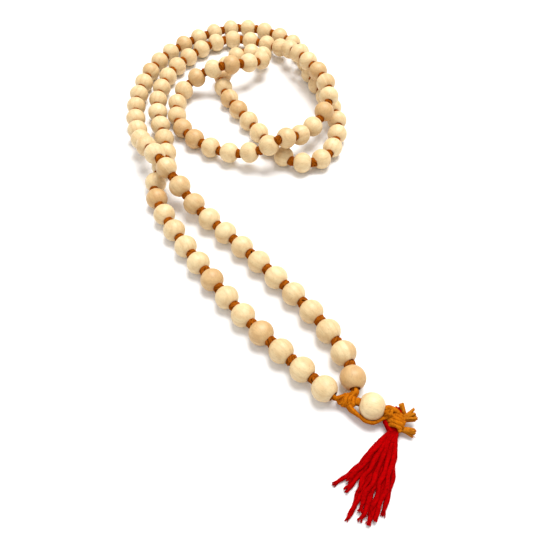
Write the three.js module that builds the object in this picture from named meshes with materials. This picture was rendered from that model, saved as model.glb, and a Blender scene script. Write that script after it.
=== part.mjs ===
// Mala: 108 turned wooden beads and a guru bead on a hand-knotted cotton cord, with a yarn tassel.
// Millimetres, +Z up. The strand lies on the plane Z = 0, its tassel towards -Y.
import * as THREE from 'three';

// ---------------------------------------------------------------- driving dimensions
const BEAD_COUNT = 108;
const BEAD_DIAMETER = 8.0;
const BEAD_LENGTH = 7.0;            // along the bore, over the flattened ends
const CORD_DIAMETER = 1.6;
const BORE_CLEARANCE = 0.7;         // cord to bore wall, all round
const KNOT_DIAMETER = 3.3;
const KNOT_LENGTH = 1.0;
const END_GAP = 0.3;                // bead end to knot, and between any two touching pieces

const LOOSE_BEADS = 17;             // beads of their own on each side of the join
const RUN_LENGTHS = [9, 9, 10, 11, 9, 8, 10, 8]; // beads in each joined run round the back

const JOIN_KNOT_DIAMETER = 4.2;
const JOIN_KNOT_LENGTH = 5.0;
const GURU_KNOT_DIAMETER = 2.9;
const GURU_KNOT_LENGTH = 0.8;
const BYPASS_CORD_DIAMETER = 1.3;
const COLLAR_DIAMETER = 4.2;
const COLLAR_LENGTH = 4.4;
const COLLAR_END_SHRINK = 0.7;      // how much the whipping narrows at each end, on the radius
const TUFT_DIAMETER = 2.4;
const TUFT_LENGTH = 3.2;
const HEAD_DIAMETER = 2.2;
const HEAD_LENGTH = 1.6;
const NECK_LENGTH = 5.7;
const NECK_TOP_DIAMETER = 3.2;
const NECK_THICKNESS = 3.2;
const TASSEL_LENGTH = 20.0;         // free yarn beyond the neck
const TASSEL_THICKNESS = 2.6;
const TASSEL_ROOT_WIDTH = 0.9;      // each of the yarn bundles where it leaves the neck
const TASSEL_TIP_WIDTH = 2.0;

const SIDES = 8;                    // flats round every bead, knot and cord

// The strand as it lies: x, y and the lift of its centre line over a bead's radius.
// It starts and ends in the join knot, and runs up the right-hand strand first.
const ROUTE = [
  [38, -91.5, 0], [38.3, -83.2, 0], [31.5, -68, 0], [8, -39, 0], [-15, -14.5, 1.5],
  [-29, 2.5, 9.5], [-40, 22, 2.4], [-45, 54, 0], [-34, 88, 0], [-1, 109.5, 0],
  [25.5, 95, 0], [32, 70, 0], [42.5, 34, 0], [34.5, 11, 0], [23, 9.5, 0],
  [4.5, 35.5, 0], [-8, 60, 0], [-7.5, 75, 0], [-1, 86.5, 0], [9, 84.5, 1.4],
  [11, 73.5, 4.6], [-8, 61, 9.6], [-17, 62, 5.4], [-26, 55.5, 0], [-25, 33, 0],
  [-9.5, 17.5, 0], [7, 11.5, 3.4], [18.5, 12.5, 10.4], [27.5, 22, 4], [36.5, 33, 7.6],
  [38.5, 46, 9], [26.5, 74, 8], [16, 91.5, 0.4], [-8, 98.5, 0], [-31, 74, 0],
  [-36, 48, 0], [-28, 12, 0], [-31.5, -4, 0], [0, -57, 0], [33.9, -93.1, 0],
];
const ROUTE_STRAND_SPACING = 8.6;   // closest spacing of strands side by side in ROUTE
const ROUTE_SAMPLES = 8000;

// The pendant starts at the join, in ROUTE's plan, and its pieces follow one another from there.
const JOIN_AT = [35.9, -91.3];
const GURU_HEADING = [0.94, -0.34];
const COLLAR_SWING = [0.7, -0.71];  // the way from the guru bead to the collar
const COLLAR_HEADING = [-0.3, -0.95];
const TASSEL_HEADING = [-0.485, -0.875];

// ---------------------------------------------------------------- materials
const woodPale = new THREE.MeshStandardMaterial({ color: 0xead2a0, roughness: 0.55, metalness: 0 });
const cottonSaffron = new THREE.MeshStandardMaterial({ color: 0xc8720f, roughness: 0.95, metalness: 0 });
const yarnRed = new THREE.MeshStandardMaterial({ color: 0xc20a0c, roughness: 0.9, metalness: 0 });

// ---------------------------------------------------------------- solids
const UP = new THREE.Vector3(0, 0, 1);
const OVER_CORNERS = 1 / Math.cos(Math.PI / SIDES);

// A profile of [radius over the flats, position along the axis], turned with SIDES flats, one of them down.
function turned(profile) {
  const points = profile.map(([radius, along]) => new THREE.Vector2(radius * OVER_CORNERS, along));
  return new THREE.LatheGeometry(points, SIDES, Math.PI / SIDES, 2 * Math.PI);
}

// Local Y along the direction, local Z as near to up as it can be.
function lying(position, direction) {
  const along = direction.clone().normalize();
  const upward = UP.clone().addScaledVector(along, -UP.dot(along)).normalize();
  const across = along.clone().cross(upward);
  return new THREE.Matrix4().makeBasis(across, along, upward).setPosition(position);
}

function placed(name, geometry, material, matrix) {
  const mesh = new THREE.Mesh(geometry, material);
  mesh.name = name;
  if (matrix) matrix.decompose(mesh.position, mesh.quaternion, mesh.scale);
  return mesh;
}

const ring = (radius, centre, axis) => ({ radius, seat: lying(centre, axis) });

// A turned solid that follows the cord: its rings are seated one by one along the strand.
function strung(rings) {
  const last = rings.length - 1;
  const geometry = turned([[0, 0], ...rings.map(({ radius }, i) => [radius, i]), [0, last]]);
  const position = geometry.getAttribute('position');
  const vertex = new THREE.Vector3();
  for (let i = 0; i < position.count; i += 1) {
    vertex.fromBufferAttribute(position, i);
    const { seat } = rings[Math.round(vertex.y)];
    vertex.setY(0).applyMatrix4(seat);
    position.setXYZ(i, vertex.x, vertex.y, vertex.z);
  }
  return geometry;
}

function roundSection(diameter) {
  const section = new THREE.Shape();
  for (let i = 0; i < SIDES; i += 1) {
    const angle = ((i + 0.5) / SIDES) * 2 * Math.PI;
    const x = (diameter / 2) * Math.cos(angle);
    const y = (diameter / 2) * Math.sin(angle);
    if (i === 0) section.moveTo(x, y);
    else section.lineTo(x, y);
  }
  section.closePath();
  return section;
}

// ---------------------------------------------------------------- the strand's layout
// The beads fill the route, so it grows with whichever asks for more room: the beads and knots
// along the cord, or the strands that lie side by side.
const KNOT_SEAT = KNOT_LENGTH + 2 * END_GAP;
const PITCH = BEAD_LENGTH + KNOT_SEAT;
const JOIN_REACH = JOIN_KNOT_DIAMETER / 2 + 0.2;
const routePoints = ROUTE.map((point) => new THREE.Vector3(...point));
const drawnRoute = new THREE.CatmullRomCurve3(routePoints, false, 'centripetal');
drawnRoute.arcLengthDivisions = ROUTE_SAMPLES;
const drawnLength = drawnRoute.getLength();
const SCALE = Math.max(
  (BEAD_COUNT * PITCH + 2 * JOIN_REACH) / drawnLength,
  (BEAD_DIAMETER + END_GAP) / ROUTE_STRAND_SPACING,
);
const STRAND_HEIGHT = BEAD_DIAMETER / 2;

function laid(x, y, height) {
  return new THREE.Vector3(x * SCALE, y * SCALE, height);
}

// The points where the knots sit, one more than the beads; the first and last meet the join knot.
const spacing = (drawnLength - (2 * JOIN_REACH) / SCALE) / BEAD_COUNT;
const knotPoints = Array.from({ length: BEAD_COUNT + 1 }, (_, i) => {
  const at = (JOIN_REACH / SCALE + i * spacing) / drawnLength;
  const point = drawnRoute.getPointAt(at);
  return laid(point.x, point.y, Math.max(0, point.z * SCALE) + STRAND_HEIGHT);
});

const beadCentre = (n) => knotPoints[n - 1].clone().add(knotPoints[n]).multiplyScalar(0.5);
const beadAxis = (n) => knotPoints[n].clone().sub(knotPoints[n - 1]).normalize();
const knotAxis = (n) => beadAxis(n).add(beadAxis(n + 1)).normalize();
const twoDigits = (n) => String(n).padStart(2, '0');

// ---------------------------------------------------------------- beads and knots
const BORE_RADIUS = CORD_DIAMETER / 2 + BORE_CLEARANCE;
const SHOULDER_RADIUS = BEAD_DIAMETER * 0.41;
const SHOULDER_ALONG = BEAD_LENGTH * 0.33;
const BELLY_ALONG = BEAD_LENGTH * 0.15;

function boredBead() {
  const half = BEAD_LENGTH / 2;
  return turned([
    [BORE_RADIUS, -half],
    [SHOULDER_RADIUS, -SHOULDER_ALONG],
    [BEAD_DIAMETER / 2, -BELLY_ALONG],
    [BEAD_DIAMETER / 2, BELLY_ALONG],
    [SHOULDER_RADIUS, SHOULDER_ALONG],
    [BORE_RADIUS, half],
    [BORE_RADIUS, -half],
  ]);
}

function barrel(diameter, length) {
  return turned([
    [0, -length / 2],
    [diameter * 0.3, -length / 2],
    [diameter / 2, -length * 0.24],
    [diameter / 2, length * 0.24],
    [diameter * 0.3, length / 2],
    [0, length / 2],
  ]);
}

const looseBead = boredBead();

function looseBeads(prefix, first, step) {
  return Array.from({ length: LOOSE_BEADS }, (_, i) => {
    const n = first + i * step;
    const name = `${prefix}_bead_${twoDigits(i + 1)}`;
    return placed(name, looseBead, woodPale, lying(beadCentre(n), beadAxis(n)));
  });
}

const along = (point, axis, distance) => point.clone().addScaledVector(axis, distance);

// A knot tied in the cord at knot point n; an end knot faces the next bead squarely.
function knotRings(n) {
  const [before, middle, after] = [beadAxis(n), knotAxis(n), beadAxis(n + 1)];
  const point = knotPoints[n];
  return [
    ring(CORD_DIAMETER / 2, along(point, before, -KNOT_LENGTH / 2), before),
    ring(KNOT_DIAMETER / 2, along(point, middle, -KNOT_LENGTH * 0.2), middle),
    ring(KNOT_DIAMETER / 2, along(point, middle, KNOT_LENGTH * 0.2), middle),
    ring(CORD_DIAMETER / 2, along(point, after, KNOT_LENGTH / 2), after),
  ];
}

function endKnotRings(n) {
  const after = beadAxis(n + 1);
  const point = knotPoints[n];
  return [
    ring(CORD_DIAMETER / 2, along(point, beadAxis(n), -KNOT_LENGTH / 2), beadAxis(n)),
    ring(KNOT_DIAMETER / 2, point, after),
    ring(KNOT_DIAMETER * 0.4, along(point, after, KNOT_LENGTH / 2), after),
  ];
}

// The cord through the loose beads of one side, with the knots tied in it.
function rightCord() {
  const knots = Array.from({ length: LOOSE_BEADS - 1 }, (_, i) => knotRings(i + 1));
  const start = ring(CORD_DIAMETER / 2, knotPoints[0], beadAxis(1));
  return placed('right_cord', strung([start, ...knots.flat(), ...endKnotRings(LOOSE_BEADS)]), cottonSaffron);
}

function leftCord() {
  const first = BEAD_COUNT - LOOSE_BEADS;
  const axis = beadAxis(first + 1);
  const start = ring(CORD_DIAMETER / 2, along(knotPoints[first], axis, KNOT_LENGTH / 2 + END_GAP), axis);
  const knots = Array.from({ length: LOOSE_BEADS - 1 }, (_, i) => knotRings(first + 1 + i));
  const end = ring(CORD_DIAMETER / 2, knotPoints[BEAD_COUNT], beadAxis(BEAD_COUNT));
  return placed('left_cord', strung([start, ...knots.flat(), end]), cottonSaffron);
}

function solidBeadRings(n) {
  const [centre, axis] = [beadCentre(n), beadAxis(n)];
  const half = BEAD_LENGTH / 2;
  const belly = BEAD_LENGTH * 0.2;
  return [
    ring(BORE_RADIUS, along(centre, axis, -half), axis),
    ring(BEAD_DIAMETER / 2, along(centre, axis, -belly), axis),
    ring(BEAD_DIAMETER / 2, along(centre, axis, belly), axis),
    ring(BORE_RADIUS, along(centre, axis, half), axis),
  ];
}

// A stretch of beads, knots and cord that is joined into one solid. It ends in its last knot.
function beadRun(index, first, count) {
  const rings = Array.from({ length: count }, (_, i) => {
    const n = first + i;
    if (i === count - 1) return [...solidBeadRings(n), ...endKnotRings(n)];
    return [...solidBeadRings(n), ring(KNOT_DIAMETER / 2, knotPoints[n], knotAxis(n))];
  });
  return placed(`bead_run_${index}`, strung(rings.flat()), woodPale);
}

function beadRuns() {
  let first = LOOSE_BEADS + 1;
  return RUN_LENGTHS.map((count, i) => {
    const run = beadRun(i + 1, first, count);
    first += count;
    return run;
  });
}

// ---------------------------------------------------------------- join, guru bead and collar
const flat = ([x, y]) => new THREE.Vector3(x, y, 0).normalize();
const guruAxis = flat(GURU_HEADING);
const collarSwing = flat(COLLAR_SWING);
const collarAxis = flat(COLLAR_HEADING);
const tasselAxis = flat(TASSEL_HEADING);

const joinHeight = JOIN_KNOT_DIAMETER / 2 + 0.4;
const joinCentre = laid(...JOIN_AT, joinHeight);
const guruFromJoin = JOIN_KNOT_LENGTH / 2 + 3 * END_GAP + BEAD_LENGTH / 2;
const guruCentre = along(joinCentre, guruAxis, guruFromJoin).setZ(STRAND_HEIGHT);
const guruKnotFromGuru = BEAD_LENGTH / 2 + 2 * END_GAP + GURU_KNOT_LENGTH / 2;
const guruKnotCentre = along(guruCentre, guruAxis, guruKnotFromGuru);
const collarFromKnot = GURU_KNOT_LENGTH / 2 + 1.5 * END_GAP + (COLLAR_DIAMETER / 2) * OVER_CORNERS;
const collarCentre = along(guruKnotCentre, collarSwing, collarFromKnot).setZ(COLLAR_DIAMETER / 2 + 0.2);

function guruCord() {
  const half = BEAD_LENGTH / 2 + END_GAP;
  const rod = turned([
    [0, -half],
    [CORD_DIAMETER / 2, -half],
    [CORD_DIAMETER / 2, half],
    [0, half],
  ]);
  return placed('guru_cord', rod, cottonSaffron, lying(guruCentre, guruAxis));
}

// The second cord, which passes outside the guru bead, low on its left, to the collar.
function bypassCord() {
  const aside = new THREE.Vector3(guruAxis.y, -guruAxis.x, 0);
  const clear = BEAD_DIAMETER / 2 + BYPASS_CORD_DIAMETER / 2 + END_GAP;
  const height = BYPASS_CORD_DIAMETER / 2 + 0.1;
  const half = BEAD_LENGTH / 2;
  const joinSide = JOIN_KNOT_DIAMETER / 2 + BYPASS_CORD_DIAMETER / 2 + END_GAP;
  const points = [
    along(along(joinCentre, guruAxis, JOIN_KNOT_LENGTH * 0.1), aside, joinSide),
    along(along(guruCentre, guruAxis, -half * 0.75), aside, clear * 0.93),
    along(along(guruCentre, guruAxis, half * 0.1), aside, clear),
    along(along(guruCentre, guruAxis, half * 0.85), aside, clear * 0.9),
  ].map((point) => point.setZ(height));
  const path = new THREE.CatmullRomCurve3(points, false, 'centripetal');
  const section = roundSection(BYPASS_CORD_DIAMETER);
  const geometry = new THREE.ExtrudeGeometry(section, { extrudePath: path, steps: 8 });
  return placed('bypass_cord', geometry, cottonSaffron);
}

function collar() {
  const radius = COLLAR_DIAMETER / 2;
  const half = COLLAR_LENGTH / 2;
  const shape = turned([
    [0, -half],
    [radius - COLLAR_END_SHRINK, -half],
    [radius, -half * 0.55],
    [radius, half * 0.55],
    [radius - COLLAR_END_SHRINK, half],
    [0, half],
  ]);
  return placed('collar_whipping', shape, cottonSaffron, lying(collarCentre, collarAxis));
}

// Cut ends of the cord standing out of the collar: where they leave it, as shares of its radius and
// half length, then their plan heading and how steeply they rise.
const TUFTS = [
  { name: 'tuft_top', side: 1.1, reach: -1.15, heading: [0.3, 0.85], rise: 0.5 },
  { name: 'tuft_upper', side: 1.2, reach: -0.35, heading: [0.95, 0.28], rise: 0.25 },
  { name: 'tuft_lower', side: 1.2, reach: 0.6, heading: [0.93, -0.36], rise: -0.05 },
];

function tuft({ name, side, reach, heading, rise }) {
  const aside = new THREE.Vector3(-collarAxis.y, collarAxis.x, 0);
  const direction = new THREE.Vector3(...heading, rise).normalize();
  const sideways = along(collarCentre, aside, (side * COLLAR_DIAMETER) / 2);
  const root = along(sideways, collarAxis, (reach * COLLAR_LENGTH) / 2);
  const centre = along(root, direction, TUFT_LENGTH / 2 + END_GAP);
  const shape = turned([
    [0, -TUFT_LENGTH / 2],
    [TUFT_DIAMETER * 0.3, -TUFT_LENGTH / 2],
    [TUFT_DIAMETER / 2, TUFT_LENGTH * 0.2],
    [TUFT_DIAMETER / 2, TUFT_LENGTH / 2],
    [0, TUFT_LENGTH / 2],
  ]);
  return placed(name, shape, cottonSaffron, lying(centre, direction));
}

// ---------------------------------------------------------------- tassel
const collarFoot = along(collarCentre, collarAxis, COLLAR_LENGTH / 2 + 2 * END_GAP);
const collarTop = along(collarCentre, collarAxis, -COLLAR_LENGTH / 2 - END_GAP);

function tasselHead() {
  const centre = along(collarTop, collarAxis, -HEAD_LENGTH / 2);
  return placed('tassel_head', barrel(HEAD_DIAMETER, HEAD_LENGTH), yarnRed, lying(centre, collarAxis));
}

// How each bundle of yarn lies: its bearing from the tassel's heading, in degrees, and its length.
const BUNDLES = [
  { bearing: -18, length: 0.72 },
  { bearing: -10, length: 0.76 },
  { bearing: -2, length: 1.0 },
  { bearing: 4.5, length: 0.93 },
  { bearing: 11.5, length: 0.93 },
];
const BUNDLE_SPACING = TASSEL_ROOT_WIDTH + END_GAP;

// A flat solid of the plan outline, from the floor up to the thickness.
function slab(outline, thickness) {
  const shape = new THREE.Shape(outline.map(([x, y]) => new THREE.Vector2(x, y)));
  return new THREE.ExtrudeGeometry(shape, { depth: thickness, bevelEnabled: false });
}

const tasselTurn = Math.atan2(tasselAxis.x, -tasselAxis.y);
const tasselFrame = new THREE.Matrix4().makeRotationZ(tasselTurn).setPosition(collarFoot.x, collarFoot.y, 0);

function tasselNeck() {
  const foot = (BUNDLES.length * BUNDLE_SPACING) / 2;
  const outline = [
    [-NECK_TOP_DIAMETER / 2, 0],
    [-foot, -NECK_LENGTH],
    [foot, -NECK_LENGTH],
    [NECK_TOP_DIAMETER / 2, 0],
  ];
  return placed('tassel_neck', slab(outline, NECK_THICKNESS), yarnRed, tasselFrame);
}

function yarnBundle({ bearing, length }, i) {
  const reach = TASSEL_LENGTH * length;
  const outline = [
    [-TASSEL_ROOT_WIDTH / 2, 0],
    [-TASSEL_TIP_WIDTH / 2, -reach * 0.8],
    [-TASSEL_TIP_WIDTH / 4, -reach],
    [TASSEL_TIP_WIDTH / 4, -reach],
    [TASSEL_TIP_WIDTH / 2, -reach * 0.8],
    [TASSEL_ROOT_WIDTH / 2, 0],
  ];
  const aside = (i - (BUNDLES.length - 1) / 2) * BUNDLE_SPACING;
  const matrix = new THREE.Matrix4().makeRotationZ(THREE.MathUtils.degToRad(bearing));
  matrix.setPosition(aside, -NECK_LENGTH - 2 * END_GAP, 0).premultiply(tasselFrame);
  return placed(`tassel_yarn_${i + 1}`, slab(outline, TASSEL_THICKNESS), yarnRed, matrix);
}

// ---------------------------------------------------------------- assembly
const mala = new THREE.Group();
const joinKnot = barrel(JOIN_KNOT_DIAMETER, JOIN_KNOT_LENGTH);
const guruKnot = barrel(GURU_KNOT_DIAMETER, GURU_KNOT_LENGTH);
mala.add(
  placed('join_knot', joinKnot, cottonSaffron, lying(joinCentre, guruAxis)),
  rightCord(),
  leftCord(),
  ...looseBeads('right', 1, 1),
  ...looseBeads('left', BEAD_COUNT, -1),
  ...beadRuns(),
  placed('guru_bead', looseBead, woodPale, lying(guruCentre, guruAxis)),
  guruCord(),
  bypassCord(),
  placed('guru_knot', guruKnot, cottonSaffron, lying(guruKnotCentre, guruAxis)),
  collar(),
  ...TUFTS.map(tuft),
  tasselHead(),
  tasselNeck(),
  ...BUNDLES.map(yarnBundle),
);

// The frame's origin is on the plane that it lies on, under the middle of its outer box.
const box = new THREE.Box3().setFromObject(mala, true);
mala.position.set(-(box.min.x + box.max.x) / 2, -(box.min.y + box.max.y) / 2, 0);

export default mala;
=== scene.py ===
"""Mala prayer beads: turned wooden beads on hand-knotted cotton cord, with a yarn tassel.

Laid out as an add-on and run as a script. Everything is in metres, in the frame of the packed model.
"""

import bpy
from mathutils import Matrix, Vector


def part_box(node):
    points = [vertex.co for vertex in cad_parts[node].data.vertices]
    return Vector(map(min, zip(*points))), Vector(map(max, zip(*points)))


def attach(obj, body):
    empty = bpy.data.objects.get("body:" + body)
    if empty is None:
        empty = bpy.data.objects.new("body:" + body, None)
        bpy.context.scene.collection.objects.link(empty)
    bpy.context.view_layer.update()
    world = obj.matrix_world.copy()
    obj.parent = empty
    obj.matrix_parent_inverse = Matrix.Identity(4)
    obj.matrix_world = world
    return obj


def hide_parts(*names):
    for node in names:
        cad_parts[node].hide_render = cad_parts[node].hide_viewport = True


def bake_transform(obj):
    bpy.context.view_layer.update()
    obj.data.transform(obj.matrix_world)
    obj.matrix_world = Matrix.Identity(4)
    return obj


bl_info = {
    "name": "Mala Prayer Beads",
    "version": (1, 0, 0),
    "blender": (4, 5, 0),
    "location": "View3D > Sidebar > Mala",
    "description": "Turned wooden beads on a knotted cotton cord, with a guru bead and a yarn tassel",
    "category": "Add Mesh",
}

import math
import random

import bpy
from bpy.props import FloatProperty, FloatVectorProperty, IntProperty, PointerProperty
from bpy.types import Operator, Panel, PropertyGroup
from mathutils import Matrix, Vector, noise

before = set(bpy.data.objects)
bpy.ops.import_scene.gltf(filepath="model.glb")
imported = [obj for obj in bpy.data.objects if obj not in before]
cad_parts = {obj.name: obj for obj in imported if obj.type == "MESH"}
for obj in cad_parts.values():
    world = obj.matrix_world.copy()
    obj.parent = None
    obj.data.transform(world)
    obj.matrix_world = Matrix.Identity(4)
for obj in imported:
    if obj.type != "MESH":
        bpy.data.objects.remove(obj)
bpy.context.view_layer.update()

# ---------------------------------------------------------------- the strand's layout, as in the model
BEAD_COUNT = 108
LOOSE_BEADS = 17
RUN_LENGTHS = (9, 9, 10, 11, 9, 8, 10, 8)
BEAD_DIAMETER = 0.008
BEAD_LENGTH = 0.007
END_GAP = 0.0003
KNOT_SEAT = 0.001 + 2 * END_GAP
PITCH = BEAD_LENGTH + KNOT_SEAT
JOIN_REACH = 0.0023
ROUTE_STRAND_SPACING = 0.0086
COLLAR_LENGTH = 0.0044
NECK_LENGTH = 0.0057

# x, y and the lift of the cord's centre line over a bead's radius, from the join round to the join.
ROUTE = (
    (0.0380, -0.0915, 0), (0.0383, -0.0832, 0), (0.0315, -0.0680, 0), (0.0080, -0.0390, 0),
    (-0.0150, -0.0145, 0.0015), (-0.0290, 0.0025, 0.0095), (-0.0400, 0.0220, 0.0024),
    (-0.0450, 0.0540, 0), (-0.0340, 0.0880, 0), (-0.0010, 0.1095, 0), (0.0255, 0.0950, 0),
    (0.0320, 0.0700, 0), (0.0425, 0.0340, 0), (0.0345, 0.0110, 0), (0.0230, 0.0095, 0),
    (0.0045, 0.0355, 0), (-0.0080, 0.0600, 0), (-0.0075, 0.0750, 0), (-0.0010, 0.0865, 0),
    (0.0090, 0.0845, 0.0014), (0.0110, 0.0735, 0.0046), (-0.0080, 0.0610, 0.0096),
    (-0.0170, 0.0620, 0.0054), (-0.0260, 0.0555, 0), (-0.0250, 0.0330, 0), (-0.0095, 0.0175, 0),
    (0.0070, 0.0115, 0.0034), (0.0185, 0.0125, 0.0104), (0.0275, 0.0220, 0.0040),
    (0.0365, 0.0330, 0.0076), (0.0385, 0.0460, 0.0090), (0.0265, 0.0740, 0.0080),
    (0.0160, 0.0915, 0.0004), (-0.0080, 0.0985, 0), (-0.0310, 0.0740, 0), (-0.0360, 0.0480, 0),
    (-0.0280, 0.0120, 0), (-0.0315, -0.0040, 0), (0.0, -0.0570, 0), (0.0339, -0.0931, 0),
)

MM = 0.001
TURN = 2 * math.pi
BEAD_SEGMENTS = 40
# Radii of the cords that are tied by hand: the join's ends and its turns, and those at the guru bead.
JOIN_END, JOIN_TURN = 0.00056, 0.00048
GURU_THROUGH, GURU_OUTER, GURU_TURN, GURU_STRAND = 0.0011, 0.00052, 0.00044, 0.00050

UP = Vector((0.0, 0.0, 1.0))
GURU_AXIS = Vector((0.94, -0.34, 0.0)).normalized()
GURU_ASIDE = Vector((GURU_AXIS.y, -GURU_AXIS.x, 0.0))
COLLAR_AXIS = Vector((-0.3, -0.95, 0.0)).normalized()
COLLAR_SIDE = Vector((-COLLAR_AXIS.y, COLLAR_AXIS.x, 0.0))
TASSEL_AXIS = Vector((-0.485, -0.875, 0.0)).normalized()
TASSEL_SIDE = Vector((-TASSEL_AXIS.y, TASSEL_AXIS.x, 0.0))


def smooth_route(points, per_span=200):
    """Fine points of the centripetal Catmull-Rom curve through the route."""
    route = [Vector(p) for p in points]
    route = [2 * route[0] - route[1], *route, 2 * route[-1] - route[-2]]
    fine = []
    for p0, p1, p2, p3 in zip(route, route[1:], route[2:], route[3:]):
        d0, d1, d2 = ((b - a).length ** 0.5 for a, b in ((p0, p1), (p1, p2), (p2, p3)))
        m1 = ((p1 - p0) / d0 - (p2 - p0) / (d0 + d1) + (p2 - p1) / d1) * d1
        m2 = ((p2 - p1) / d1 - (p3 - p1) / (d1 + d2) + (p3 - p2) / d2) * d1
        for i in range(per_span):
            t = i / per_span
            fine.append(
                p1 + m1 * t + (3 * (p2 - p1) - 2 * m1 - m2) * t * t + (2 * (p1 - p2) + m1 + m2) * t**3
            )
    fine.append(route[-2])
    return fine


def at_lengths(fine, wanted):
    """The points of a fine polyline at rising lengths along it."""
    found, done, i = [], 0.0, 0
    for length in wanted:
        while i < len(fine) - 2 and done + (fine[i + 1] - fine[i]).length < length:
            done += (fine[i + 1] - fine[i]).length
            i += 1
        step = (fine[i + 1] - fine[i]).length
        found.append(fine[i].lerp(fine[i + 1], (length - done) / step))
    return found


def middle(node):
    low, high = (Vector(c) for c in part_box(node))
    return (low + high) / 2


def strand_layout():
    """The points where the knots sit, one more than the beads, in the model's frame."""
    fine = smooth_route(ROUTE)
    drawn = sum((b - a).length for a, b in zip(fine, fine[1:]))
    along_cord = (BEAD_COUNT * PITCH + 2 * JOIN_REACH) / drawn
    side_by_side = (BEAD_DIAMETER + END_GAP) / ROUTE_STRAND_SPACING
    scale = max(along_cord, side_by_side)
    spacing = (drawn - 2 * JOIN_REACH / scale) / BEAD_COUNT
    points = at_lengths(fine, [JOIN_REACH / scale + i * spacing for i in range(BEAD_COUNT + 1)])
    radius = BEAD_DIAMETER / 2
    knots = [Vector((p.x * scale, p.y * scale, max(0.0, p.z * scale) + radius)) for p in points]
    shift = middle("right_bead_01") - (knots[0] + knots[1]) / 2
    shift.z = 0.0
    return [k + shift for k in knots], shift, scale


KNOTS, PLAN_SHIFT, PLAN_SCALE = strand_layout()


def laid(x, y, z):
    """A point given in the route's plan, in the model's frame."""
    return Vector((x * PLAN_SCALE, y * PLAN_SCALE, z)) + PLAN_SHIFT


def bead_centre(n):
    return (KNOTS[n - 1] + KNOTS[n]) / 2


def bead_axis(n):
    return (KNOTS[n] - KNOTS[n - 1]).normalized()


# The cord's line: an even cubic B-spline over knots and bead middles, straight in each bore.
CORD_CONTROLS = [KNOTS[0]]
for _n in range(1, BEAD_COUNT + 1):
    CORD_CONTROLS += [bead_centre(_n), KNOTS[_n]]


def cord_point(at):
    """The cord's line at a place counted in half pitches: 2n is knot n, 2n - 1 the middle of bead n."""
    last = len(CORD_CONTROLS) - 1
    i = min(max(int(math.floor(at)), 0), last - 1)
    u = at - i

    def control(k):
        if k < 0:
            return 2 * CORD_CONTROLS[0] - CORD_CONTROLS[-k]
        if k > last:
            return 2 * CORD_CONTROLS[last] - CORD_CONTROLS[2 * last - k]
        return CORD_CONTROLS[k]

    a, b, c, d = (control(i + k) for k in (-1, 0, 1, 2))
    before = a * (1 - u) ** 3 + b * (3 * u**3 - 6 * u**2 + 4)
    return (before + c * (-3 * u**3 + 3 * u**2 + 3 * u + 1) + d * u**3) / 6


# ---------------------------------------------------------------- sizes and colours a user would change
def linear(code):
    """An sRGB hex code as linear RGBA."""
    parts = [int(code[i : i + 2], 16) / 255 for i in (1, 3, 5)]
    return tuple(c / 12.92 if c <= 0.04045 else ((c + 0.055) / 1.055) ** 2.4 for c in parts) + (1.0,)


class MalaBeadSettings(PropertyGroup):
    """Sizes of the turned beads"""

    diameter: FloatProperty(
        name="Bead diameter", description="Across the widest turn of a bead", default=BEAD_DIAMETER,
        min=0.005, max=0.008, unit="LENGTH",
    )
    length: FloatProperty(
        name="Bead length", description="Along the bore, over the lips", default=BEAD_LENGTH,
        min=0.005, max=0.007, unit="LENGTH",
    )
    bore: FloatProperty(
        name="Bore", description="Diameter of the drilled hole", default=0.0027,
        min=0.002, max=0.0032, unit="LENGTH",
    )
    mouth: FloatProperty(
        name="Mouth", description="Diameter of the flat lip round the hole", default=0.0035,
        min=0.003, max=0.0042, unit="LENGTH",
    )
    uneven: FloatProperty(
        name="Unevenness", description="How much one bead differs from the next", default=0.03,
        min=0.0, max=0.05, subtype="FACTOR",
    )
    tan_share: FloatProperty(
        name="Tan beads", description="The share of beads cut from darker wood", default=0.16,
        min=0.0, max=1.0, subtype="FACTOR",
    )


class MalaCordSettings(PropertyGroup):
    """Sizes of the cotton cord, its knots and its windings"""

    diameter: FloatProperty(
        name="Cord diameter", description="The stringing cord", default=0.0016,
        min=0.001, max=0.002, unit="LENGTH",
    )
    strand: FloatProperty(
        name="Strand", description="One strand of the knotted cord", default=0.00082,
        min=0.0004, max=0.0012, unit="LENGTH",
    )
    knot: FloatProperty(
        name="Knot", description="Across a knot between two beads", default=0.0039,
        min=0.0026, max=0.0042, unit="LENGTH",
    )
    winding: FloatProperty(
        name="Winding", description="The cord that is wound round the tassel's neck", default=0.00124,
        min=0.0006, max=0.0014, unit="LENGTH",
    )


class MalaTasselSettings(PropertyGroup):
    """Sizes of the yarn tassel"""

    yarn: FloatProperty(
        name="Yarn", description="Across one yarn of the tassel", default=0.00130,
        min=0.0006, max=0.0016, unit="LENGTH",
    )
    lay: FloatProperty(
        name="Lay", description="One full turn of the yarn's two soft plies", default=0.0064,
        min=0.003, max=0.012, unit="LENGTH",
    )
    fuzz: IntProperty(
        name="Stray fibres", description="Fibres that stand off each yarn", default=40, min=0, max=80,
    )


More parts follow.
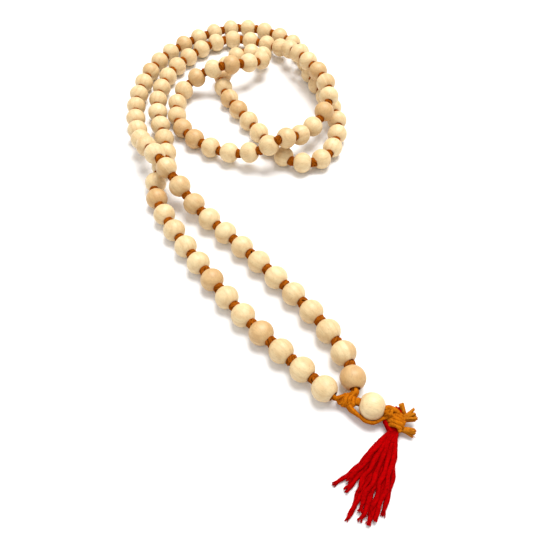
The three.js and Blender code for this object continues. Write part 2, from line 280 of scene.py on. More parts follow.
class MalaColours(PropertyGroup):
    """Colours of the finishes"""

    wood_pale: FloatVectorProperty(
        name="Pale wood", description="Freshly cut sapwood", size=4, subtype="COLOR",
        min=0, max=1, default=linear("#E2CA9B"),
    )
    wood_tan: FloatVectorProperty(
        name="Tan wood", description="The darker beads of the strand", size=4, subtype="COLOR",
        min=0, max=1, default=linear("#C8A26C"),
    )
    cotton: FloatVectorProperty(
        name="Saffron cotton", description="The dyed cord of the strand", size=4, subtype="COLOR",
        min=0, max=1, default=linear("#9A4C08"),
    )
    # A lighter copy of the strand's cotton colour, for the join, the guru cords and the collar.
    bright_cotton: FloatVectorProperty(
        name="Bright cotton", description="The newer cord of the join and the collar", size=4,
        subtype="COLOR", min=0, max=1, default=linear("#C46A06"),
    )
    yarn: FloatVectorProperty(
        name="Red yarn", description="The tassel", size=4, subtype="COLOR",
        min=0, max=1, default=linear("#A80002"),
    )
    floor: FloatVectorProperty(
        name="Floor", description="The paper that the strand lies on", size=4, subtype="COLOR",
        min=0, max=1, default=linear("#F6F6F6"),
    )


# ---------------------------------------------------------------- material helpers
def add_node(tree, kind, settings=None, **links):
    """Adds a node, sets its properties, and fills its sockets with values or other nodes' outputs: a
    node stands for its first output, and i6 for the input of that number."""
    made = tree.nodes.new(kind)
    for key, value in (settings or {}).items():
        setattr(made, key, value)
    for key, value in links.items():
        numbered = key[0] == "i" and key[1:].isdigit()
        socket = made.inputs[int(key[1:]) if numbered else key.replace("_", " ")]
        if isinstance(value, bpy.types.Node):
            value = value.outputs[0]
        if isinstance(value, bpy.types.NodeSocket):
            tree.links.new(value, socket)
        else:
            socket.default_value = value
    return made


def new_material(name):
    """An empty node material and its node tree."""
    material = bpy.data.materials.new(name)
    material.use_nodes = True
    material.node_tree.nodes.clear()
    return material, material.node_tree


def set_ramp(ramp, stops):
    """Gives a colour ramp its stops of place and colour."""
    elements = ramp.color_ramp.elements
    while len(elements) > len(stops):
        elements.remove(elements[-1])
    while len(elements) < len(stops):
        elements.new(0.5)
    for element, (place, colour) in zip(elements, stops):
        element.position, element.color = place, colour


def shade(colour, factor):
    return tuple(min(1.0, c * factor) for c in colour[:3]) + (1.0,)


def made_once(make, *values):
    """The material that a function makes, under the function's own name, made only the first time."""
    return bpy.data.materials.get(make.__name__) or make(make.__name__, *values)


# ---------------------------------------------------------------- materials
def turned_sapwood(name, colours):
    """Pale sapwood, turned and sanded but not varnished: soft wide highlights, fine grain along the
    bore, faint rings from the lathe, and a mouth darkened partly by dye stain from the cord and partly
    by painted shade where the knot meets it."""
    material, tree = new_material(name)
    grain = add_node(tree, "ShaderNodeAttribute", {"attribute_name": "grain"})
    tone = add_node(tree, "ShaderNodeAttribute", {"attribute_name": "tone"})
    parts = add_node(tree, "ShaderNodeSeparateColor", Color=tone.outputs["Color"])
    # Grain lines are 0.4 mm apart and several millimetres long; the attribute is in millimetres.
    along = add_node(tree, "ShaderNodeMapping", Vector=grain.outputs["Vector"], Scale=(2.4, 2.4, 0.30))
    lines = add_node(tree, "ShaderNodeTexNoise", Vector=along, Scale=1.0, Detail=6.0, Roughness=0.62)
    # Growth bands about 2 mm wide, bent by the way that each bead was cut.
    slow = add_node(tree, "ShaderNodeMapping", Vector=grain.outputs["Vector"], Scale=(1.0, 0.55, 0.1))
    bands = add_node(
        tree, "ShaderNodeTexWave", {"wave_type": "BANDS", "bands_direction": "X"}, Vector=slow,
        Scale=0.17, Distortion=3.2, Detail=2.0, Detail_Scale=0.6,
    )
    # Blotches 3 to 4 mm across, where the wood took up oil from the hand.
    blotch = add_node(tree, "ShaderNodeTexNoise", Vector=grain.outputs["Vector"], Scale=0.3, Detail=2.0)
    pale, tan = colours.wood_pale, colours.wood_tan
    line_ramp = add_node(tree, "ShaderNodeValToRGB", Fac=lines)
    set_ramp(line_ramp, [(0.28, shade(pale, 0.84)), (0.47, pale), (0.75, shade(pale, 1.08))])
    tan_ramp = add_node(tree, "ShaderNodeValToRGB", Fac=lines)
    set_ramp(tan_ramp, [(0.28, shade(tan, 0.80)), (0.48, tan), (0.78, shade(tan, 1.12))])
    toned = add_node(
        tree, "ShaderNodeMix", {"data_type": "RGBA"}, i0=parts, i6=line_ramp,
        i7=tan_ramp,
    )
    # Pores a tenth of a millimetre wide, drawn twice as coarse so that they show.
    pore = add_node(tree, "ShaderNodeMapping", Vector=grain.outputs["Vector"], Scale=(5.0, 5.0, 1.1))
    pores = add_node(tree, "ShaderNodeTexNoise", Vector=pore, Scale=1.0, Detail=1.0)
    # Each layer darkens the wood with its tint where its reading goes from low to high: the bands, the
    # blotches, the pores, and the darkening that creeps up to half a millimetre out of the mouth, which
    # is partly dye stain and partly painted shade where the knot meets the bead.
    layers = (
        (bands.outputs[1], 0.5, 1.0, 0.16, "#D2AC80"),
        (blotch.outputs[0], 0.42, 0.72, 0.30, "#DDBB90"),
        (pores.outputs[0], 0.62, 0.74, 0.30, "#B48A58"),
        (parts.outputs[1], 0.5, 1.0, 0.8, "#C08048"),
    )
    colour = toned.outputs[2]
    for reading, low, high, most, tint in layers:
        share = add_node(
            tree, "ShaderNodeMapRange", Value=reading, From_Min=low, From_Max=high, To_Max=most,
        )
        darker = add_node(
            tree, "ShaderNodeMix", {"data_type": "RGBA", "blend_type": "MULTIPLY"},
            i0=share, i6=colour, i7=linear(tint),
        )
        colour = darker.outputs[2]
    gloss = add_node(
        tree, "ShaderNodeMapRange", Value=blotch, From_Min=0.3, From_Max=0.7, To_Min=0.42,
        To_Max=0.56,
    )
    # Lathe rings 0.4 mm apart under the sanding.
    ring_at = add_node(
        tree, "ShaderNodeMapping", Vector=grain.outputs["Vector"], Scale=(0.02, 0.02, 1.0),
    )
    rings = add_node(
        tree, "ShaderNodeTexWave", {"wave_type": "BANDS", "bands_direction": "Z"}, Vector=ring_at,
        Scale=0.8, Distortion=0.6, Detail=1.0,
    )
    relief = add_node(
        tree, "ShaderNodeMath", {"operation": "MULTIPLY_ADD"}, i0=rings.outputs[1], i1=0.35,
        i2=lines,
    )
    bump = add_node(tree, "ShaderNodeBump", Height=relief, Strength=0.25, Distance=0.00006)
    shader = add_node(
        tree, "ShaderNodeBsdfPrincipled", Base_Color=colour, Roughness=gloss,
        Normal=bump, IOR=1.5,
    )
    add_node(tree, "ShaderNodeOutputMaterial", Surface=shader)
    return material


def stained_and_shaded_bore(name):
    """The drilled hole in the same wood: open end grain with no gloss at all, painted dark partly for
    the dye soaked into it and partly as painted shade inside the hole.
    """
    material, tree = new_material(name)
    grain = add_node(tree, "ShaderNodeAttribute", {"attribute_name": "grain"})
    # Torn fibres about 0.2 mm across.
    torn = add_node(tree, "ShaderNodeTexNoise", Vector=grain.outputs["Vector"], Scale=4.5, Detail=4.0)
    # Dark brown to orange-brown: dye stain in the end grain, and painted shade of the inside of the
    # hole.
    ramp = add_node(tree, "ShaderNodeValToRGB", Fac=torn)
    set_ramp(ramp, [(0.3, linear("#4A1404")), (0.55, linear("#7C300A")), (0.8, linear("#A8541C"))])
    bump = add_node(tree, "ShaderNodeBump", Height=torn, Strength=0.5, Distance=0.00012)
    shader = add_node(
        tree, "ShaderNodeBsdfPrincipled", Base_Color=ramp, Normal=bump,
        Roughness=0.95, IOR=1.5, Specular_IOR_Level=0.2,
    )
    add_node(tree, "ShaderNodeOutputMaterial", Surface=shader)
    return material


def spun_fibre(name, shade_and_deep_dye, body, light, lay_mm, relief):
    """Spun fibre: the lay of its filaments turns round each strand, with painted shade between
    filaments and painted highlight where they would catch the light. The attribute holds millimetres
    round and along the strand."""
    material, tree = new_material(name)
    fibre = add_node(tree, "ShaderNodeAttribute", {"attribute_name": "fibre"})
    turned = add_node(
        tree, "ShaderNodeMapping", Vector=fibre.outputs["Vector"],
        Rotation=(0.0, 0.0, math.radians(58)),
    )
    # Filament bundles are lay_mm apart.
    lay = add_node(
        tree, "ShaderNodeTexWave", {"wave_type": "BANDS", "bands_direction": "X"}, Vector=turned,
        Scale=0.314 / lay_mm, Distortion=2.6, Detail=2.0, Detail_Scale=2.0,
    )
    drawn_out = add_node(tree, "ShaderNodeMapping", Vector=turned, Scale=(5.0, 0.9, 3.0))
    stray = add_node(
        tree, "ShaderNodeTexNoise", Vector=drawn_out, Scale=1.0, Detail=4.0, Roughness=0.6,
    )
    # Uneven dye, in patches 2 mm long.
    dye = add_node(tree, "ShaderNodeTexNoise", Vector=fibre.outputs["Vector"], Scale=0.5, Detail=2.0)
    mixed = add_node(
        tree, "ShaderNodeMath", {"operation": "MULTIPLY_ADD"}, i0=lay.outputs[1], i1=0.42, i2=stray,
    )
    level = add_node(
        tree, "ShaderNodeMath", {"operation": "MULTIPLY_ADD"}, i0=dye, i1=0.5, i2=mixed,
    )
    spread = add_node(tree, "ShaderNodeMapRange", Value=level, From_Min=0.6, From_Max=1.5)
    # The ramp paints shade into the lay's grooves and highlight onto its crests, mixed with the uneven
    # dye and the stray fibres.
    ramp = add_node(tree, "ShaderNodeValToRGB", Fac=spread)
    set_ramp(ramp, [(0.0, shade_and_deep_dye), (0.45, body), (1.0, light)])
    bump = add_node(tree, "ShaderNodeBump", Height=mixed, Strength=relief, Distance=0.00012)
    shader = add_node(
        tree, "ShaderNodeBsdfPrincipled", Base_Color=ramp, Normal=bump,
        Roughness=0.95, IOR=1.53, Specular_IOR_Level=0.02,
    )
    add_node(tree, "ShaderNodeOutputMaterial", Surface=shader)
    return material


def spun_saffron_cotton(name, colours):
    """Soft-spun cotton dyed saffron: matt, with painted brown shade in its folds and painted golden
    highlight on top.
    """
    return spun_fibre(name, linear("#451B03"), colours.cotton, linear("#C4741C"), 0.24, 0.8)


def spun_bright_cotton(name, colours):
    """A lighter copy of the same dyed cotton, for the join, the guru cords and the collar: the same
    matt fibre, more golden.
    """
    return spun_fibre(name, linear("#5C2603"), colours.bright_cotton, linear("#D88A20"), 0.24, 0.8)


def frayed_cotton(name):
    """The same cotton combed out at its cut ends, where it looks paler and drier."""
    return spun_fibre(name, linear("#7A3A05"), linear("#BA6C10"), linear("#E09A30"), 0.2, 0.6)


def crimson_yarn(name, colours):
    """Soft-spun yarn dyed red: matt and almost one colour, with painted shade that darkens it between
    its filaments and yarns.
    """
    return spun_fibre(name, linear("#5A0001"), colours.yarn, linear("#C00002"), 0.3, 0.6)


def matt_paper(name, colours):
    """Plain white paper under soft light: no gloss, only a breath of tooth."""
    material, tree = new_material(name)
    place = add_node(tree, "ShaderNodeTexCoord")
    # The tooth of the paper is 0.5 mm.
    tooth = add_node(
        tree, "ShaderNodeTexNoise", Vector=place.outputs["Object"], Scale=2000.0, Detail=2.0,
    )
    ramp = add_node(tree, "ShaderNodeValToRGB", Fac=tooth)
    set_ramp(ramp, [(0.0, shade(colours.floor, 0.985)), (1.0, colours.floor)])
    shader = add_node(
        tree, "ShaderNodeBsdfPrincipled", Base_Color=ramp, Roughness=1.0,
        Specular_IOR_Level=0.0,
    )
    add_node(tree, "ShaderNodeOutputMaterial", Surface=shader)
    return material


# ---------------------------------------------------------------- shape helpers
class Shape:
    """Gathers points and faces with the vectors their materials read, and makes one object of them."""

    def __init__(self, attribute):
        self.attribute = attribute
        self.points, self.faces, self.slots, self.reads, self.tones = [], [], [], [], []

    def rings(self, rows, reads, tones=None, slots=None, closed=False):
        """Joins rows of points, all alike in number, into a tube, with its ends closed or as a loop."""
        first, size = len(self.points), len(rows[0])
        for r, row in enumerate(rows):
            self.points += [tuple(p) for p in row]
            self.reads += reads[r]
            self.tones += tones[r] if tones else [(0.0, 0.0, 0.0, 1.0)] * size
        count = len(rows)
        for r in range(count if closed else count - 1):
            a, b = first + r * size, first + ((r + 1) % count) * size
            for i in range(size):
                j = (i + 1) % size
                self.faces.append((a + i, a + j, b + j, b + i))
                self.slots.append(slots[r] if slots else 0)
        if not closed:
            self.faces.append(tuple(first + i for i in reversed(range(size))))
            self.faces.append(tuple(first + (count - 1) * size + i for i in range(size)))
            self.slots += [0, 0]

    def build(self, name, *materials):
        mesh = bpy.data.meshes.new(name)
        mesh.from_pydata(self.points, [], self.faces)
        read = mesh.attributes.new(self.attribute, "FLOAT_VECTOR", "POINT")
        read.data.foreach_set("vector", [c for v in self.reads for c in v])
        tone = mesh.attributes.new("tone", "FLOAT_COLOR", "POINT")
        tone.data.foreach_set("color", [c for v in self.tones for c in v])
        for material in materials:
            mesh.materials.append(material)
        mesh.polygons.foreach_set("material_index", self.slots)
        mesh.polygons.foreach_set("use_smooth", [True] * len(mesh.polygons))
        mesh.validate()
        made = bpy.data.objects.new(name, mesh)
        bpy.context.scene.collection.objects.link(made)
        return made


def carried(path):
    """A frame at each point of a path that turns as little as it can: point, tangent, side and up."""
    frames, side = [], None
    for i, point in enumerate(path):
        tangent = (path[min(i + 1, len(path) - 1)] - path[max(i - 1, 0)]).normalized()
        if side is None:
            side = tangent.cross(UP)
            if side.length < 0.1:
                side = tangent.cross(Vector((0, 1, 0)))
        side = (side - tangent * side.dot(tangent)).normalized()
        frames.append((point, tangent, side, tangent.cross(side)))
    return frames


def strand_rows(path, radius, sides, seed, relief=None):
    """The rings of points round a path, and what its material reads there. radius is a number or a
    function of the share of the way along; relief is a function of the angle and the length gone."""
    width = radius if callable(radius) else (lambda share: radius)
    rows, reads, gone = [], [], 0.0
    last = len(path) - 1
    for i, (point, _, side, up) in enumerate(carried(path)):
        gone += (path[i] - path[i - 1]).length if i else 0.0
        flat = width(i / last)
        row, read = [], []
        for k in range(sides):
            a = TURN * k / sides
            r = flat * relief(a, gone) if relief else flat
            row.append(point + (side * math.cos(a) + up * math.sin(a)) * r)
            read.append((k / sides * TURN * flat * 1000, gone * 1000, seed))
        rows.append(row)
        reads.append(read)
    return rows, reads


def blunted(rows, reads):
    """Rounds the two ends of a strand with one smaller ring each."""

    def cap(row, inner):
        centre = sum(row, Vector()) / len(row)
        away = (centre - sum(inner, Vector()) / len(inner)).normalized()
        return [centre + (p - centre) * 0.55 + away * (p - centre).length * 0.45 for p in row]

    return (
        [cap(rows[0], rows[1]), *rows, cap(rows[-1], rows[-2])],
        [reads[0], *reads, reads[-1]],
    )


def strand(shape, path, radius, sides, seed, relief=None):
    """One strand with rounded ends."""
    shape.rings(*blunted(*strand_rows(path, radius, sides, seed, relief)))


def lobed(plies, lay, depth, phase):
    """The soft relief of plies that turn once in the length of the lay."""
    return lambda a, gone: 1 + depth * math.cos(plies * (a - phase) - TURN * gone / lay)


def smooth_path(points, count):
    """Evenly spaced points on the smooth curve through a few given ones."""
    fine = smooth_route(points, 24)
    total = sum((b - a).length for a, b in zip(fine, fine[1:]))
    return at_lengths(fine, [total * i / (count - 1) * 0.99999 for i in range(count)])


def above(points, floor):
    """The points, with any that lie lower than the floor brought up to it."""
    return [Vector((p.x, p.y, max(p.z, floor))) for p in points]


def twisted(path, offset, turns, phase, swell):
    """A path wound round another one: offset from it, with that many turns on the way."""
    wound, last = [], len(path) - 1
    for i, (point, _, side, up) in enumerate(carried(path)):
        share = i / last
        a = phase + TURN * turns * share
        wound.append(point + (side * math.cos(a) + up * math.sin(a)) * offset * swell(share))
    return wound


def spun_cord(shape, path, radius, rng, sides=12, lay=0.0030):
    """A cord spun of three soft plies."""
    strand(shape, path, radius, sides, rng.uniform(0, 90), lobed(3, lay, 0.09, rng.uniform(0, 6)))


def frayed_end(shape, start, heading, reach, spread, count, rng, thick):
    """A brush of strands that leaves a point and opens out."""
    tips = heading.cross(UP).normalized()
    rise = tips.cross(heading)
    for _ in range(count):
        turn, share = TURN * rng.random(), math.sqrt(rng.random())
        out = (tips * math.cos(turn) + rise * math.sin(turn)) * share * spread
        curl = (tips * rng.uniform(-1, 1) + rise * rng.uniform(-1, 1)) * spread * 0.55
        far = reach * rng.uniform(0.78, 1.0)
        path = [
            start + out * 0.30 - heading * 0.0006,
            start + out * 0.62 + heading * far * 0.35,
            start + out * 0.90 + heading * far * 0.72 + curl * 0.4,
            start + out * 1.02 + heading * far + curl,
        ]
        wide = rng.uniform(*thick)
        path = smooth_path(above(path, wide * 1.3), 12)
        seed = rng.uniform(0, 99)
        strand(shape, path, lambda s, w=wide: w * (1.05 - 0.4 * s * s), 6, seed)


def finished(piece, body, slot, *nodes):
    """Attaches a piece to its body and hides the nodes that it stands for; a blended piece has no one
    body. The slot is not used.
    """
    if body:
        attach(piece, body)
    if nodes:
        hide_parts(*nodes)


def seat(centre, axis, spin):
    """Local Z along the axis, turned about it by spin."""
    z = axis.normalized()
    x = UP.cross(z)
    x = x.normalized() if x.length > 0.05 else Vector((1, 0, 0))
    basis = Matrix((x, z.cross(x), z)).transposed().to_4x4()
    return Matrix.Translation(centre) @ basis @ Matrix.Rotation(spin, 4, "Z")


def one_turn(steps, start, sweep, place, drift, lean, lag, wide, high):
    """A turn of cord round an axis, in millimetres along it, aside and up: it sweeps round from the
    start, drifts along as it goes, and leans along and back, by the angle that it lags behind."""
    rows = []
    for i in range(steps):
        share = i / (steps - 1)
        a = start + sweep * share
        along = place + drift * (share - 0.5) + lean * math.sin(a - lag)
        rows.append((along, wide * math.cos(a), high * math.sin(a)))
    return rows


def by(origin, axis, aside, rows):
    """Points given in millimetres along an axis, aside from it and up."""
    return [origin + (axis * a + aside * b + UP * c) * MM for a, b, c in rows]


# ---------------------------------------------------------------- beads
def bead_profile(sizes):
    """Half of a bead's outline from its belly to the middle of its bore, as radius and height, with the
    share of darkening towards the mouth there, partly dye stain and partly painted shade, and whether
    it is the drilled hole."""
    radius, half = sizes.diameter / 2, sizes.length / 2
    mouth, bore = sizes.mouth / 2, sizes.bore / 2
    rise = half * 0.988
    belly = rise / math.sqrt(1 - (mouth / radius) ** 2)
    steps = 9
    top = math.asin(rise / belly)
    outline = []
    for i in range(steps + 1):
        a = top * i / steps
        outline.append((radius * math.cos(a), belly * math.sin(a), max(0.0, (i - 6) / 3) * 0.7, 0))
    return outline + [
        (mouth - 0.07e-3, half, 0.8, 0),
        (mouth - 0.17e-3, half - 0.03e-3, 0.95, 0),
        (bore + 0.10e-3, half - 0.18e-3, 1.0, 1),
        (bore + 0.02e-3, half - 0.45e-3, 1.0, 1),
        (bore, half * 0.62, 1.0, 1),
        (bore, 0.0, 1.0, 1),
    ]


def add_bead(shape, sizes, place, rng, tan):
    """One turned bead at a place, with its own small faults of the lathe and its own piece of wood."""
    half = bead_profile(sizes)
    full = half + [(r, -z, stain_and_shade, hole) for r, z, stain_and_shade, hole in reversed(half[1:-1])]
    wide = 1.0 - rng.random() * sizes.uneven
    long = 1.0 - rng.random() * sizes.uneven * 1.5
    lean = rng.uniform(-0.5, 0.5) * sizes.uneven
    cut = Vector([rng.uniform(-40, 40) for _ in range(3)])
    split = rng.random() < 0.06
    rows, reads, tones, slots = [], [], [], []
    for r, z, stain_and_shade, hole in full:
        row, read, tone = [], [], []
        for k in range(BEAD_SEGMENTS):
            a = TURN * k / BEAD_SEGMENTS
            local = Vector((r * math.cos(a), r * math.sin(a), z * long))
            if not hole:
                fault = 1 - 0.004 * (1 + noise.noise(local * 420 + cut))
                local.x *= wide * fault * (1 - abs(lean) + lean * z / sizes.length)
                local.y *= wide * fault
            row.append(place @ local)
            read.append(tuple(local * 1000 + cut))
            warm = min(1.0, tan + 0.6) if split and local.x > 0 else tan
            # The tone's second channel darkens the wood towards the mouth: partly dye stain, partly
            # painted shade where the knot meets the bead.
            tone.append((warm, stain_and_shade, 0.0, 1.0))
        rows.append(row)
        reads.append(read)
        tones.append(tone)
        slots.append(1 if hole else 0)
    shape.rings(rows[::-1], reads[::-1], tones[::-1], slots[::-1][1:] + slots[:1], closed=True)


def bead_object(name, context, seats, body, nodes):
    """One object of the beads at those seats: each a centre, the bore's direction and a number."""
    sizes, colours = context.scene.mala_beads, context.scene.mala_colours
    shape = Shape("grain")
    for centre, axis, number in seats:
        rng = random.Random(1000 + number)
        spin, is_tan, share = rng.uniform(0, 6.28), rng.random() < sizes.tan_share, rng.random()
        tan = 0.55 + share * 0.45 if is_tan else share * 0.35
        add_bead(shape, sizes, seat(centre, axis, spin), rng, tan)
    made = shape.build(
        name,
        made_once(turned_sapwood, colours),
        made_once(stained_and_shaded_bore),
    )
    finished(made, body, "turned_wood", *nodes)


def strand_seats(numbers):
    return [(bead_centre(n), bead_axis(n), n) for n in numbers]


class MALA_OT_loose_beads(Operator):
    """Turn the beads on each side of the join, which spin on the cord by themselves"""

    bl_idname = "mala.loose_beads"
    bl_label = "Loose beads"

    def execute(self, context):
        for i in range(1, LOOSE_BEADS + 1):
            for side, n in (("right", i), ("left", BEAD_COUNT + 1 - i)):
                node = f"{side}_bead_{i:02d}"
                bead_object(f"turned_{node}", context, strand_seats([n]), node, [node])
        return {"FINISHED"}


class MALA_OT_bead_runs(Operator):
    """Turn the beads of each run round the back of the strand"""

    bl_idname = "mala.bead_runs"
    bl_label = "Bead runs"

    def execute(self, context):
        first = LOOSE_BEADS + 1
        for i, count in enumerate(RUN_LENGTHS, 1):
            seats = strand_seats(range(first, first + count))
            bead_object(f"turned_run_{i}", context, seats, "strand", [f"bead_run_{i}"])
            first += count
        return {"FINISHED"}


class MALA_OT_guru_bead(Operator):
    """Turn the guru bead, which the tassel hangs from"""

    bl_idname = "mala.guru_bead"
    bl_label = "Guru bead"

    def execute(self, context):
        seats = [(middle("guru_bead"), GURU_AXIS, 0)]
        bead_object("turned_guru_bead", context, seats, "guru_bead", ["guru_bead"])
        return {"FINISHED"}


# ---------------------------------------------------------------- cord and knots
class MALA_OT_stringing_cord(Operator):
    """Lay the stringing cord from the join, through every bead, back to the join"""

    bl_idname = "mala.stringing_cord"
    bl_label = "Stringing cord"

    def execute(self, context):
        cord = context.scene.mala_cord
        curve = bpy.data.curves.new("stringing_cord", "CURVE")
        curve.dimensions = "3D"
        curve.bevel_depth = cord.diameter / 2
        curve.bevel_resolution = 2
        curve.resolution_u = 4
        curve.use_fill_caps = True
        line = curve.splines.new("NURBS")
        line.points.add(len(CORD_CONTROLS) - 1)
        for point, place in zip(line.points, CORD_CONTROLS):
            point.co = (*place, 1.0)
        line.order_u = 4
        line.use_endpoint_u = True
        curve.materials.append(made_once(spun_saffron_cotton, context.scene.mala_colours))
        made = bpy.data.objects.new("stringing_cord", curve)
        context.scene.collection.objects.link(made)
        finished(made, "strand", "saffron_cotton", "right_cord", "left_cord")
        return {"FINISHED"}


def add_knot(shape, n, cord, rng):
    """One hand-tied knot: strands drawn together on the slant, with turns of cord thrown over them."""
    reach = 0.40
    path = [cord_point(2 * n - reach + 2 * reach * i / 12) for i in range(13)]
    thick = cord.strand / 2
    hold = cord.knot / 2 * rng.uniform(0.90, 1.0) - thick
    lean = rng.uniform(0.30, 0.50) * rng.choice((-1, 1, 1))
    start = rng.uniform(0, 6.28)
    skew = rng.uniform(-0.16, 0.16)
    count = 8

    def swell(share):
        leant = min(1.0, max(0.0, share + skew * share * (1 - share) * 4))
        return 0.56 + 0.44 * math.sin(math.pi * leant) ** 0.7

    for k in range(count):
        phase = start + TURN * k / count + rng.uniform(-0.2, 0.2)
        wound = twisted(path, hold * rng.uniform(0.88, 1.04), lean, phase, swell)
        wide = thick * rng.uniform(0.88, 1.14)
        strand(shape, wound, wide, 8, rng.uniform(0, 99), lobed(2, 0.0016, 0.10, k))
    frames = carried(path)
    for place, tilt in ((5, rng.uniform(0.3, 0.8)), (7, -rng.uniform(0.2, 0.7))):
        point, tangent, side, up = frames[place]
        turn = rng.uniform(0, 6.28)
        over = []
        for i in range(19):
            a = turn + TURN * 0.62 * i / 18
            out = side * math.cos(a) + up * math.sin(a)
            sway = tangent * math.sin(a - turn - 1.0) * tilt * 0.0012
            over.append(point + out * (hold + thick * 0.22) + sway)
        seed = rng.uniform(0, 99)
        strand(shape, over, lambda s: thick * (0.5 + 0.55 * math.sin(math.pi * s) ** 0.5), 8, seed)


class MALA_OT_knots(Operator):
    """Tie the knots between the beads"""

    bl_idname = "mala.knots"
    bl_label = "Knots"

    def execute(self, context):
        cotton = made_once(spun_saffron_cotton, context.scene.mala_colours)
        groups, first = [("right_knots", range(1, LOOSE_BEADS + 1))], LOOSE_BEADS + 1
        for i, count in enumerate(RUN_LENGTHS, 1):
            groups.append((f"run_{i}_knots", range(first, first + count)))
            first += count
        groups.append(("left_knots", range(BEAD_COUNT - LOOSE_BEADS + 1, BEAD_COUNT)))
        for name, numbers in groups:
            shape = Shape("fibre")
            for n in numbers:
                add_knot(shape, n, context.scene.mala_cord, random.Random(3000 + n))
            finished(shape.build(name, cotton), "strand", "saffron_cotton")
        return {"FINISHED"}


# ---------------------------------------------------------------- join, guru cords and collar
def cord_piece(shape, name, context, node):
    """Makes a piece of the brighter cotton, which stands for one node of the strand."""
    cotton = made_once(spun_bright_cotton, context.scene.mala_colours)
    finished(shape.build(name, cotton), "strand", "saffron_cotton", node)


class MALA_OT_join_knot(Operator):
    """Tie the two ends of the strand together at the guru bead"""

    bl_idname = "mala.join_knot"
    bl_label = "Join knot"

    def execute(self, context):
        rng = random.Random(41)
        centre = middle("join_knot")
        shape = Shape("fibre")
        left, right = KNOTS[BEAD_COUNT], KNOTS[0]
        left_start = left - bead_axis(BEAD_COUNT) * 0.0016
        right_start = right + bead_axis(1) * 0.0016
        # The strand's two ends come in, three cords each, and go through the knot to the guru bead.
        ends = (
            (left_start, left, (0.0, 0.5), ((-1.6, -0.5, 0.8), (0.8, -0.9, 1.0), (3.6, -0.3, 0.6))),
            (left_start, left, (-0.5, -0.2), ((-1.9, 0.5, 0.5), (0.6, 0.5, 0.9), (3.6, 0.2, 0.2))),
            (left_start, left, (0.5, -0.3), ((-1.7, 1.2, -0.4), (0.2, 1.5, -0.2), (1.6, 2.0, -0.5))),
            (right_start, right, (0.0, 0.5), ((0.9, -1.4, 1.1), (0.4, 0.3, 1.9), (0.9, 1.9, 0.9))),
            (right_start, right, (-0.5, -0.2), ((-0.1, -1.5, 0.6), (-0.9, 0.3, 1.5), (0.2, 1.8, 0.3))),
            (right_start, right, (0.5, -0.2), ((1.6, -1.3, 0.4), (1.5, 0.3, 1.4), (1.6, 2.0, 0.4))),
        )
        for start, gate, (aside, lift), inner in ends:
            shift = (GURU_AXIS * aside + UP * lift) * MM
            points = [start + shift, gate + shift, *by(centre, GURU_AXIS, GURU_ASIDE, inner)]
            spun_cord(shape, smooth_path(points, 34), JOIN_END, rng)
        # Turns drawn tight round them.
        turns = ((-1.5, 0.5, 1.45), (-0.6, 0.2, 1.75), (0.4, -0.5, 1.8), (1.3, 0.4, 1.5))
        for shift, tilt, reach in turns:
            loop = one_turn(34, shift, TURN, shift, 0.8, tilt * 1.3, 0.0, reach, reach * 0.95)
            spun_cord(shape, by(centre, GURU_AXIS, GURU_ASIDE, loop), JOIN_TURN, rng)
        cord_piece(shape, "tied_join_knot", context, "join_knot")
        return {"FINISHED"}


def hugging(guru, along, drop):
    """A point against the guru bead's near side, so far along its bore and so far below its middle."""
    reach = (BEAD_DIAMETER / 2 + GURU_OUTER) * 1000
    aside = math.sqrt(max(1.0, reach**2 - drop**2 - along**2))
    return guru + (GURU_AXIS * along + GURU_ASIDE * aside - UP * drop) * MM


class MALA_OT_guru_cords(Operator):
    """Run one cord through the guru bead and three outside it, to the collar"""

    bl_idname = "mala.guru_cords"
    bl_label = "Guru cords"

    def execute(self, context):
        rng = random.Random(59)
        guru, join, knot = middle("guru_bead"), middle("join_knot"), middle("guru_knot")
        shape = Shape("fibre")
        inner = [guru - GURU_AXIS * 0.0044, guru, guru + GURU_AXIS * 0.0044]
        spun_cord(shape, smooth_path(inner, 30), GURU_THROUGH, rng)
        cord_piece(shape, "guru_through_cord", context, "guru_cord")
        shape = Shape("fibre")
        # How far each cord lies below the guru bead's middle, and where it leaves the join.
        for drop, out in ((0.9, 0.49), (1.9, 0.43), (2.75, 0.4)):
            start = by(join, GURU_AXIS, GURU_ASIDE, [(-0.6, out, 1.0 - drop * 0.4)])
            lower = by(join, GURU_AXIS, GURU_ASIDE, [(1.5, 2.3, 2.0 - drop)])
            end = ((-0.4, 2.2 - 0.4 * drop, -drop * 0.75), (1.6, 0.9, -drop * 0.5))
            foot = by(knot, GURU_AXIS, GURU_ASIDE, end)
            round_bead = [hugging(guru, x, drop) for x in (-2.4, -0.4, 1.8)]
            points = [*start, *lower, *round_bead, *foot]
            path = smooth_path(above(points, GURU_OUTER * 1.1), 52)
            spun_cord(shape, path, GURU_OUTER, rng, lay=0.0024)
        cord_piece(shape, "outer_guru_cords", context, "bypass_cord")
        shape = Shape("fibre")
        turns = ((0.45, 0.0, -0.5), (-0.5, 1.4, 0.1), (0.2, 2.9, 0.7), (-0.3, 4.2, 1.3))
        for tilt, phase, shift in turns:
            loop = one_turn(28, phase, TURN * 0.96, shift, 0.0, tilt * 1.3, 0.0, 1.25, 1.25)
            spun_cord(shape, by(knot, GURU_AXIS, GURU_ASIDE, loop), GURU_TURN, rng)
        for b, c in ((0.7, 0.6), (-0.8, 0.5), (0.1, -0.6), (-0.3, 1.1)):
            rows = (
                (-1.4, b * 0.7, c), (0.2, b * 1.5, c * 1.2), (1.5, b * 1.5, c),
                (3.0, b * 0.9, c * 0.6 - 0.5),
            )
            spun_cord(shape, smooth_path(by(knot, GURU_AXIS, GURU_ASIDE, rows), 22), GURU_STRAND, rng)
        cord_piece(shape, "tied_guru_knot", context, "guru_knot")
        return {"FINISHED"}


